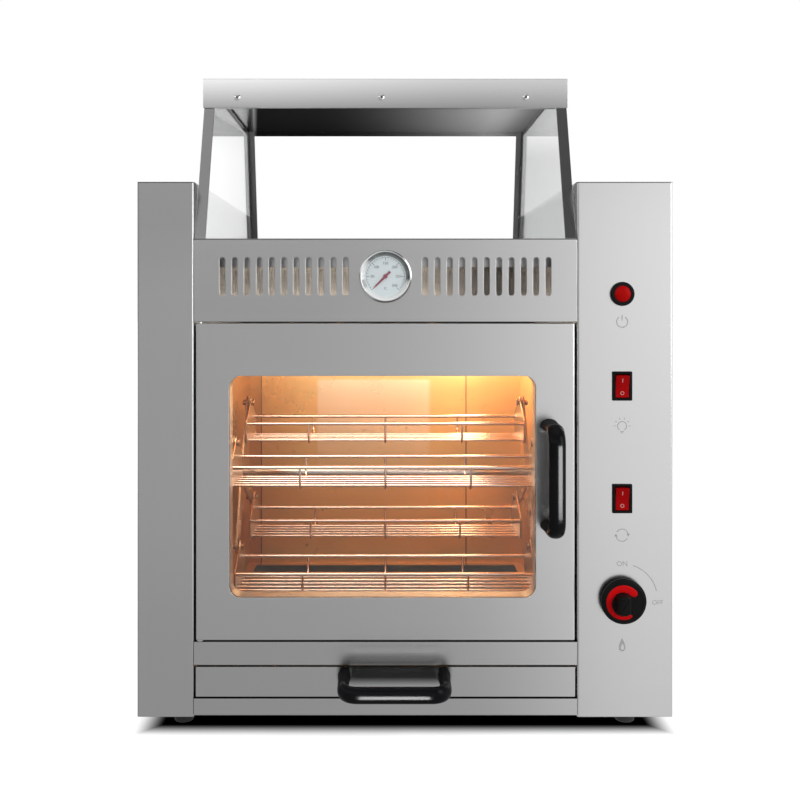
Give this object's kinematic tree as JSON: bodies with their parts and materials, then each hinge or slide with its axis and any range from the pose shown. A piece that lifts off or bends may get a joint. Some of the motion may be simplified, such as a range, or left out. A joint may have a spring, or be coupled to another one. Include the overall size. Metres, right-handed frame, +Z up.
{
  "type": "baked potato oven",
  "caption": "Counter-top baked potato oven: glazed chamber with a rotating basket wheel, crumb drawer, controls on a side column and an open display under a canopy.",
  "frame": {"origin": "on the floor, under the middle of the bounding box", "axes": "+X to the user's right facing the door, +Y to the back, +Z up"},
  "size_m": [0.643, 0.6, 0.8],
  "materials": {
    "black_plastic": "gloss black",
    "brass": "brass",
    "bulb": "warm lamp glass",
    "ceramic": "glazed",
    "chrome": "polished",
    "dial": "printed dial",
    "galvanised": "zinc plated",
    "glass": "clear",
    "motor_metal": "grey",
    "red_hand": "red lacquer",
    "red_lens": "red lens",
    "red_plastic": "gloss red",
    "rubber": "black",
    "seal_rubber": "grey silicone",
    "stainless": "brushed stainless sheet",
    "stainless_inner": "stainless sheet, heat tinted inside the chamber",
    "wire": "bright drawn wire"
  },
  "bodies": {
    "cabinet": {"base_pan": "stainless", "feet": "rubber", "left_column_shell": "stainless", "right_column_shell": "stainless", "rear_panel": "stainless", "bottom_front_rail": "stainless", "lower_front_rail": "stainless", "upper_front_panel": "stainless", "display_deck": "stainless", "canopy_front_pillars": "stainless", "canopy_rear_posts": "stainless", "canopy_roof": "stainless", "canopy_glass_left": "glass", "canopy_glass_right": "glass", "canopy_screws": "stainless", "thermometer_case": "chrome", "thermometer_dial": "dial", "thermometer_glass": "glass", "thermometer_probe": "galvanised", "door_hinge_brackets": "galvanised", "drawer_runners": "galvanised", "chamber_liner": "stainless_inner", "oven_lamp_holder": "ceramic", "oven_lamp_bulb": "bulb", "burner_tubes": "galvanised", "spark_electrode": "ceramic", "gas_valve": "brass", "gas_pipe": "brass", "cable_gland": "black_plastic", "shaft_bearings": "brass", "motor_bracket": "galvanised", "gear_motor": "motor_metal", "power_lamp_bezel": "black_plastic", "power_lamp_lens": "red_lens", "light_switch_housing": "black_plastic", "rotation_switch_housing": "black_plastic"},
    "door": {"door_shell": "stainless", "door_inner_panel": "stainless", "door_glass": "glass", "door_seal": "seal_rubber", "door_handle": "black_plastic", "door_hinge_pins": "galvanised"},
    "crumb_drawer": {"drawer_tray": "galvanised", "drawer_front": "stainless", "drawer_handle": "black_plastic"},
    "basket_wheel": {"wheel_shaft": "wire", "wheel_plate_left": "stainless_inner", "wheel_plate_right": "stainless_inner", "basket_pins": "galvanised"},
    "basket_1_body": {"basket_1": "wire"},
    "basket_2_body": {"basket_2": "wire"},
    "basket_3_body": {"basket_3": "wire"},
    "basket_4_body": {"basket_4": "wire"},
    "light_rocker": {"light_switch_rocker": "red_plastic"},
    "rotation_rocker": {"rotation_switch_rocker": "red_plastic"},
    "push_collar": {"valve_collar": "brass"},
    "knob": {"ignition_knob": "black_plastic", "knob_ring": "red_plastic", "valve_stem": "galvanised"},
    "dial_hand": {"thermometer_pointer": "red_hand"}
  },
  "joints": [
    {"name": "door_hinge", "type": "hinge", "parent": "cabinet", "child": "door", "pos_m": [-0.2465, -0.231, 0.302], "axis": [0, 0, -1], "range_deg": [0, 100]},
    {"name": "crumb_drawer_slide", "type": "slide", "parent": "cabinet", "child": "crumb_drawer", "axis": [0, -1, 0], "range_m": [0, 0.34]},
    {"name": "wheel_spin", "type": "hinge", "parent": "cabinet", "child": "basket_wheel", "pos_m": [0, 0.02, 0.272], "axis": [1, 0, 0], "continuous": true},
    {"name": "basket_1_swing", "type": "hinge", "parent": "basket_wheel", "child": "basket_1_body", "pos_m": [0, 0.075, 0.36726], "axis": [1, 0, 0], "continuous": true},
    {"name": "basket_2_swing", "type": "hinge", "parent": "basket_wheel", "child": "basket_2_body", "pos_m": [0, -0.07526, 0.327], "axis": [1, 0, 0], "continuous": true},
    {"name": "basket_3_swing", "type": "hinge", "parent": "basket_wheel", "child": "basket_3_body", "pos_m": [0, -0.035, 0.17674], "axis": [1, 0, 0], "continuous": true},
    {"name": "basket_4_swing", "type": "hinge", "parent": "basket_wheel", "child": "basket_4_body", "pos_m": [0, 0.11526, 0.217], "axis": [1, 0, 0], "continuous": true},
    {"name": "light_switch_tilt", "type": "hinge", "parent": "cabinet", "child": "light_rocker", "pos_m": [0.2605, -0.234, 0.417], "axis": [-1, 0, 0], "range_deg": [0, 16]},
    {"name": "rotation_switch_tilt", "type": "hinge", "parent": "cabinet", "child": "rotation_rocker", "pos_m": [0.2605, -0.234, 0.282], "axis": [-1, 0, 0], "range_deg": [0, 16]},
    {"name": "knob_push", "type": "slide", "parent": "cabinet", "child": "push_collar", "axis": [0, 1, 0], "range_m": [0, 0.004], "stiffness_N_per_m": 600},
    {"name": "knob_turn", "type": "hinge", "parent": "push_collar", "child": "knob", "pos_m": [0.2605, -0.236, 0.161], "axis": [0, -1, 0], "range_deg": [0, 90]},
    {"name": "thermometer_hand", "type": "hinge", "parent": "cabinet", "child": "dial_hand", "pos_m": [-0.0235, -0.236, 0.5485], "axis": [0, 1, 0], "range_deg": [0, 270]}
  ],
  "couplings": [
    {"joint": "basket_1_swing", "follows": "wheel_spin", "ratio": -1},
    {"joint": "basket_2_swing", "follows": "wheel_spin", "ratio": -1},
    {"joint": "basket_3_swing", "follows": "wheel_spin", "ratio": -1},
    {"joint": "basket_4_swing", "follows": "wheel_spin", "ratio": -1}
  ]
}
